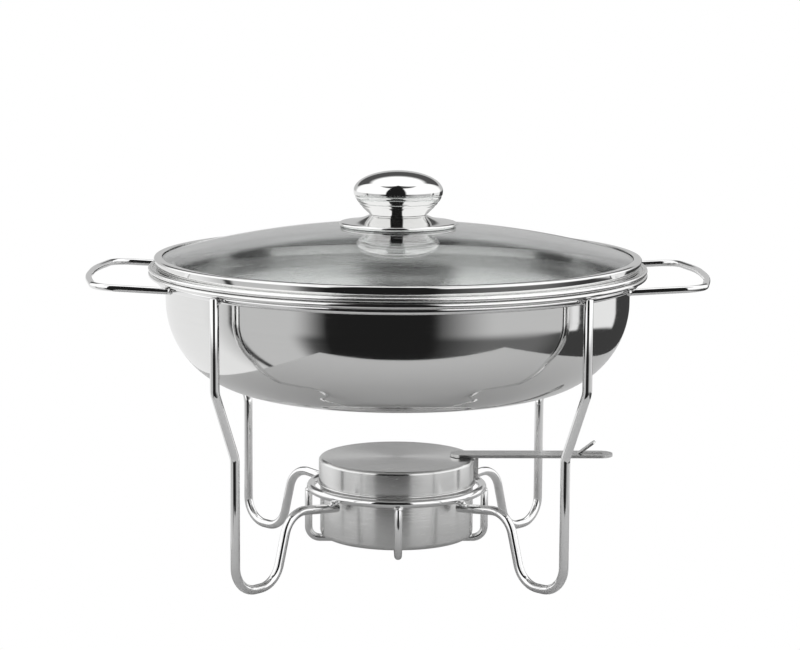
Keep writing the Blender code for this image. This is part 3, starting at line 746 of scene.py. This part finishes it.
def make_screw():
    """Pan-head screw with a cross recess cut in the underside of its head."""
    low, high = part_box("knob_screw")
    head_r = high.x
    head_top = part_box("clamp_dish")[1].z - KNOB_SHEET - GAP
    crown = head_top - low.z
    outline = [(0, low.z)]
    outline += [(head_r * math.sin(a), low.z + crown * SCREW_CROWN * (1 - math.cos(a)))
                for a in (math.pi / 2 * i / 16 for i in range(1, 17))]
    outline += [(head_r, head_top), (SCREW_R, head_top), (SCREW_R, high.z), (0, high.z)]
    screw = turned("knob_screw_head", outline, SCREW_ROUND, LID_STEEL, "lid", "polished_lid_steel",
                   "knob_screw")
    bm = bmesh.new()
    for turn in RECESS_TURNS:
        made = bmesh.ops.create_cube(bm, size=1.0)["verts"]
        for v in made:
            taper = RECESS_TAPER if v.co.z > 0 else 1.0
            v.co = Vector((v.co.x * RECESS_LENGTH * taper, v.co.y * RECESS_WIDTH * taper,
                           v.co.z * RECESS_HEIGHT))
        bmesh.ops.rotate(bm, verts=made, cent=(0, 0, 0),
                         matrix=Matrix.Rotation(math.radians(turn), 3, "Z"))
        bmesh.ops.translate(bm, verts=made, vec=(0, 0, low.z))
    bmesh.ops.recalc_face_normals(bm, faces=bm.faces)
    mesh = bpy.data.meshes.new("cross_recess")
    bm.to_mesh(mesh)
    bm.free()
    cutter = bpy.data.objects.new("cross_recess", mesh)
    bpy.context.scene.collection.objects.link(cutter)
    cut = screw.modifiers.new("recess", "BOOLEAN")
    cut.operation = "DIFFERENCE"
    cut.use_self = True
    cut.object = cutter
    bpy.context.view_layer.update()
    evaluated = screw.evaluated_get(bpy.context.evaluated_depsgraph_get())
    solid = bpy.data.meshes.new_from_object(evaluated)
    screw.modifiers.clear()
    screw.data = solid
    bpy.data.objects.remove(cutter, do_unlink=True)


# ---- Burner and snuffer -------------------------------------------------------------------------
def make_burner():
    corner = (CUP_R - CUP_CORNER_R, CUP_Z + CUP_CORNER_R)
    lip = CUP_SHEET / 2
    cup = [(0, CUP_Z)] + arc(corner, CUP_CORNER_R, -90, 0, 14)
    cup += arc((CUP_R - lip, CUP_TOP_Z - lip), lip, 0, 180, 8)
    cup += arc(corner, CUP_CORNER_R - CUP_SHEET, 0, -90, 14)
    cup += [(0, CUP_Z + CUP_SHEET)]
    turned("burner_cup_shell", cup, ROUND, CUP_STEEL, "burner", "brushed_burner_steel",
           "burner_cup")


def make_cap():
    corner = (CAP_R - CAP_CORNER_R, CAP_TOP_Z - CAP_CORNER_R)
    inner_r = CAP_R - CAP_SHEET
    cap = [(0, CAP_TOP_Z)] + arc(corner, CAP_CORNER_R, 90, 0, 14)
    cap += arc((CAP_R, CAP_SKIRT_Z + CAP_BEAD_R), CAP_BEAD_R, 90, -90, 12)
    cap += [(inner_r, CAP_SKIRT_Z)]
    cap += arc(corner, CAP_CORNER_R - CAP_SHEET, 0, 90, 12)
    cap += [(0, CAP_TOP_Z - CAP_SHEET)]
    turned("snuffer_cap_shell", cap, ROUND, CAP_STEEL, "snuffer", "brushed_burner_steel",
           "snuffer_cap")


def slab(bm, outline, place, thickness, holes=()):
    """Closed slab from a flat outline, with holes bridged by a triangle fill."""
    layers = []
    for shift in (Vector((0, 0, 0)), thickness):
        edges = []
        for loop in (outline, *holes):
            verts = [bm.verts.new(place(x, y) + shift) for x, y in loop]
            edges += [bm.edges.new((verts[i], verts[(i + 1) % len(verts)]))
                      for i in range(len(verts))]
            layers.append(verts)
        bmesh.ops.triangle_fill(bm, use_beauty=True, use_dissolve=False, edges=edges)
    count = 1 + len(holes)
    for below, above in zip(layers[:count], layers[count:]):
        for i in range(len(below)):
            j = (i + 1) % len(below)
            bm.faces.new((below[i], below[j], above[j], above[i]))


def soften(obj, width):
    """Round the sharp edges left where sheet is cut."""
    edge = obj.modifiers.new("edge", "BEVEL")
    edge.width = width
    edge.segments = 2
    edge.limit_method = "ANGLE"
    edge.angle_limit = math.radians(50)


def make_strap():
    """Flat handle with round ends, a slot, and the tongue lanced up out of it."""
    half = (STRAP_HIGH.y - STRAP_LOW.y) / 2
    low = STRAP_LOW.z
    slot_half = TONGUE_WIDTH / 2 + GAP
    slot_end = TONGUE_ROOT_X + TONGUE_LENGTH + GAP
    outline = arc((STRAP_HIGH.x - half, 0), half, -90, 90, 32)
    outline += arc((STRAP_LOW.x + half, 0), half, 90, 270, 32)
    slot = [(TONGUE_ROOT_X, -slot_half), (slot_end, -slot_half),
            (slot_end, slot_half), (TONGUE_ROOT_X, slot_half)]
    bm = bmesh.new()
    slab(bm, outline, lambda x, y: Vector((x, y, low)), Vector((0, 0, STRAP_SHEET)), [slot])
    soften(finish_piece("strap_blade", bm, STRAP_STEEL, "snuffer",
                        ["handle_strap"]), STRAP_EDGE_R)

    root = Vector((TONGUE_ROOT_X - STRAP_SHEET / 2, 0, low + STRAP_SHEET / 5))
    along = Vector((math.cos(TONGUE_ANGLE), 0, math.sin(TONGUE_ANGLE)))
    up = Vector((-along.z, 0, along.x))
    wide = TONGUE_WIDTH / 2
    shoulder = TONGUE_SQUARE
    tip = [(shoulder, -wide)] + curve([(shoulder, -wide), (TONGUE_LENGTH, -wide),
                                       (TONGUE_LENGTH, 0)], 6)[1:]
    tip += curve([(TONGUE_LENGTH, 0), (TONGUE_LENGTH, wide), (shoulder, wide)], 6)[1:]
    bm = bmesh.new()
    slab(bm, [(0, -wide)] + tip + [(0, wide)],
         lambda d, y: root + along * d + Vector((0, y, 0)), up * TONGUE_SHEET)
    soften(finish_piece("strap_tongue", bm, STRAP_STEEL, "snuffer", ()),
           TONGUE_EDGE_R)


def make_bracket():
    low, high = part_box("strap_bracket")
    bm = bmesh.new()
    outline = [(low.x, high.z), (low.x, low.z), (high.x, low.z), (high.x, high.z)]
    slab(bm, outline, lambda x, z: Vector((x, -BRACKET_WIDTH / 2, z)),
         Vector((0, BRACKET_WIDTH, 0)))
    soften(finish_piece("strap_bracket_bent", bm, STRAP_STEEL, "snuffer",
                        ["strap_bracket"]), BRACKET_EDGE_R)


# ---- Studio -------------------------------------------------------------------------------------
TABLE_FRONT_Y = -0.295
TABLE_BACK_Y = 1.0
TABLE_LEFT_X = -0.20
TABLE_RIGHT_X = 0.30
TABLE_Z = -0.0002
TABLE_TONE = 0.60
TABLE_ROUGHNESS = 0.8

# Brightness of what the metal mirrors.
SIDE_LIGHT = 1.20
FRONT_LOW = 0.58
BACK_WALL = 0.56
LEFT_WALL = 0.88
RIGHT_WALL = 0.90
GAP_DARK = 0.014
UNDER_TABLE = 0.15
LOW_DARK = 0.05
CEILING = 0.09
SOFTBOX = 1.30

# Where it is. Azimuths are in degrees, 0 in front of the object and 90 at its right, and so are
# heights above the horizon. A span is its two ends and how soft each is.
FRONT_SPAN = (-100.0, 92.0, 26.0, 4.0)
LEFT_STAND_SPAN = (-91.0, -86.0, 3.0, 3.0)
RIGHT_STAND_SPAN = (98.0, 104.5, 2.0, 2.0)
GAP_SHADE_SPAN = (-44.0, 30.0, 22.0, 40.0)
GAP_LOW_SPAN = (-36.0, 17.0, 2.0, 8.0)
GAP_HIGH_SPAN = (-33.0, 19.0, 3.0, 6.0)
REAR_DARK_SPAN = (134.0, 176.0, 3.0, 6.0)
SIDE_LIGHT_SPAN = (-1.0, 138.0, 1.0, 16.0)             # on each side
UNDER_TABLE_SPAN = (-50.0, 136.0, 16.0, 3.0)
TABLE_CORNER = (60.0, 96.0)                            # azimuths where its shade changes
UNDER_TABLE_FULL = (-21.0, -15.5)                      # heights, before and after the corner
UNDER_TABLE_NONE = (-10.0, -13.5)
UNDER_TABLE_DARKENS = (70.0, 96.0)
WALL_TURN = (-30.0, 30.0)
HORIZON = (-5.0, 0.0)
CEILING_START = (16.0, 63.0)                           # away from the side lights, and over them
SOFTBOX_START = 63.0                                   # height at the sides,
SOFTBOX_FRONT_RISE = 25.0                              # and how much higher it is in front


def make_world():
    """White to the eye; what the metal mirrors is a room lit by two side lights and a top light."""
    world = bpy.data.worlds.new("studio")
    world.use_nodes = True
    bpy.context.scene.world = world
    graph = Graph(world.node_tree)
    tree = world.node_tree
    tree.nodes.clear()
    split = graph.node("ShaderNodeSeparateXYZ")
    tree.links.new(graph.node("ShaderNodeTexCoord").outputs["Generated"], split.inputs[0])
    x, y, z = split.outputs
    to_degrees = 180 / math.pi
    azimuth = graph.math("MULTIPLY",
                         graph.math("ARCTAN2", x, graph.math("MULTIPLY", y, -1.0)), to_degrees)
    height = graph.math("MULTIPLY", graph.math("ARCSINE", z), to_degrees)
    side = graph.math("ABSOLUTE", azimuth)

    # Below eye level: side walls, a greyer front, two light stands, the shade under the table,
    # and the dark gap in front.
    walls = graph.ramp(azimuth, *WALL_TURN, LEFT_WALL, RIGHT_WALL)
    low = graph.blend(graph.band(azimuth, *FRONT_SPAN), walls, FRONT_LOW)
    stands = graph.math("MAXIMUM", graph.band(azimuth, *LEFT_STAND_SPAN),
                        graph.band(azimuth, *RIGHT_STAND_SPAN))
    low = graph.blend(stands, low, LOW_DARK)
    full = graph.ramp(azimuth, *TABLE_CORNER, *UNDER_TABLE_FULL)
    none = graph.ramp(azimuth, *TABLE_CORNER, *UNDER_TABLE_NONE)
    under = graph.math("MULTIPLY", graph.band(azimuth, *UNDER_TABLE_SPAN),
                       graph.ramp(height, full, none, 1.0, 0.0))
    shade = graph.ramp(azimuth, *UNDER_TABLE_DARKENS, UNDER_TABLE, LOW_DARK)
    low = graph.blend(under, low, shade)
    low = graph.blend(graph.band(azimuth, *GAP_SHADE_SPAN), low, GAP_DARK)
    low = graph.blend(graph.band(azimuth, *GAP_LOW_SPAN), low, GAP_DARK)
    low = graph.blend(graph.band(azimuth, *REAR_DARK_SPAN), low, LOW_DARK)

    # Above it: tall lights to the left and right of the dark gap, a plain wall behind, a dim
    # ceiling, and the softbox overhead.
    lights = graph.band(side, *SIDE_LIGHT_SPAN)
    high = graph.blend(lights, BACK_WALL, SIDE_LIGHT)
    ceiling_from = graph.blend(lights, *CEILING_START)
    above = graph.ramp(graph.math("SUBTRACT", height, ceiling_from), -2.0, 2.0)
    high = graph.blend(above, high, CEILING)
    high = graph.blend(graph.band(azimuth, *GAP_HIGH_SPAN), high, GAP_DARK)
    room = graph.blend(graph.ramp(height, *HORIZON), low, high)
    facing = graph.math("COSINE", graph.math("MULTIPLY", azimuth, 1 / to_degrees))
    edge = graph.math("ADD", SOFTBOX_START, graph.math("MULTIPLY", facing, SOFTBOX_FRONT_RISE))
    over = graph.ramp(graph.math("SUBTRACT", height, edge), -3.0, 8.0)
    lit = graph.blend(over, room, SOFTBOX)

    seen = graph.node("ShaderNodeLightPath").outputs["Is Camera Ray"]
    strength = graph.blend(seen, lit, 1.0)
    background = graph.node("ShaderNodeBackground")
    background.inputs["Color"].default_value = (1.0, 1.0, 1.0, 1.0)
    graph.feed(background.inputs["Strength"], strength)
    tree.links.new(background.outputs[0],
                   graph.node("ShaderNodeOutputWorld").inputs["Surface"])


def make_floor():
    """Pale table top, white to the eye; its near edges show in the bowl."""
    bm = bmesh.new()
    corners = [(TABLE_LEFT_X, TABLE_FRONT_Y), (TABLE_RIGHT_X, TABLE_FRONT_Y),
               (TABLE_RIGHT_X, TABLE_BACK_Y), (TABLE_LEFT_X, TABLE_BACK_Y)]
    bm.faces.new([bm.verts.new((x, y, TABLE_Z)) for x, y in corners])
    mesh = bpy.data.meshes.new("floor")
    bm.to_mesh(mesh)
    bm.free()
    floor = bpy.data.objects.new("floor", mesh)
    bpy.context.scene.collection.objects.link(floor)
    mat, graph, shader, _ = start_material("pale_table")
    shader.inputs["Base Color"].default_value = (TABLE_TONE, TABLE_TONE, TABLE_TONE, 1.0)
    shader.inputs["Roughness"].default_value = TABLE_ROUGHNESS
    glow = graph.node("ShaderNodeEmission")
    mix = graph.node("ShaderNodeMixShader")
    seen = graph.node("ShaderNodeLightPath").outputs["Is Camera Ray"]
    graph.feed(mix.inputs[0], seen)
    graph.tree.links.new(shader.outputs[0], mix.inputs[1])
    graph.tree.links.new(glow.outputs[0], mix.inputs[2])
    graph.tree.links.new(mix.outputs[0],
                         mat.node_tree.nodes["Material Output"].inputs["Surface"])
    mesh.materials.append(mat)


CAMERA_DISTANCE = 1.438                                # from the centre line
CAMERA_HEIGHT = 0.3618
CAMERA_AZIMUTH = math.radians(-1.27)
CAMERA_YAW = CAMERA_AZIMUTH + math.radians(-0.06)
CAMERA_PITCH = math.radians(8.56)                      # downwards
CAMERA_ROLL = math.radians(0.33)
LENS_MM = 108.0
SENSOR_MM = 36.0


def make_camera():
    yaw, pitch, roll = CAMERA_YAW, CAMERA_PITCH, CAMERA_ROLL
    forward = Vector((-math.sin(yaw) * math.cos(pitch), math.cos(yaw) * math.cos(pitch),
                      -math.sin(pitch)))
    level = Vector((math.cos(yaw), math.sin(yaw), 0))
    upright = level.cross(forward)
    right = level * math.cos(roll) + upright * math.sin(roll)
    top = upright * math.cos(roll) - level * math.sin(roll)
    data = bpy.data.cameras.new("camera")
    data.lens = LENS_MM
    data.sensor_width = SENSOR_MM
    data.sensor_fit = "HORIZONTAL"
    camera = bpy.data.objects.new("camera", data)
    bpy.context.scene.collection.objects.link(camera)
    placed = Matrix((right, top, -forward)).transposed().to_4x4()
    placed.translation = Vector((CAMERA_DISTANCE * math.sin(CAMERA_AZIMUTH),
                                 -CAMERA_DISTANCE * math.cos(CAMERA_AZIMUTH), CAMERA_HEIGHT))
    camera.matrix_world = placed
    bpy.context.scene.camera = camera


make_camera()
make_world()
make_floor()
make_stand()
make_pans()
make_glass_and_band()
make_knob()
make_burner()
make_cap()
make_strap()
make_bracket()
bpy.context.scene.view_settings.view_transform = "Standard"

bpy.context.view_layer.update()
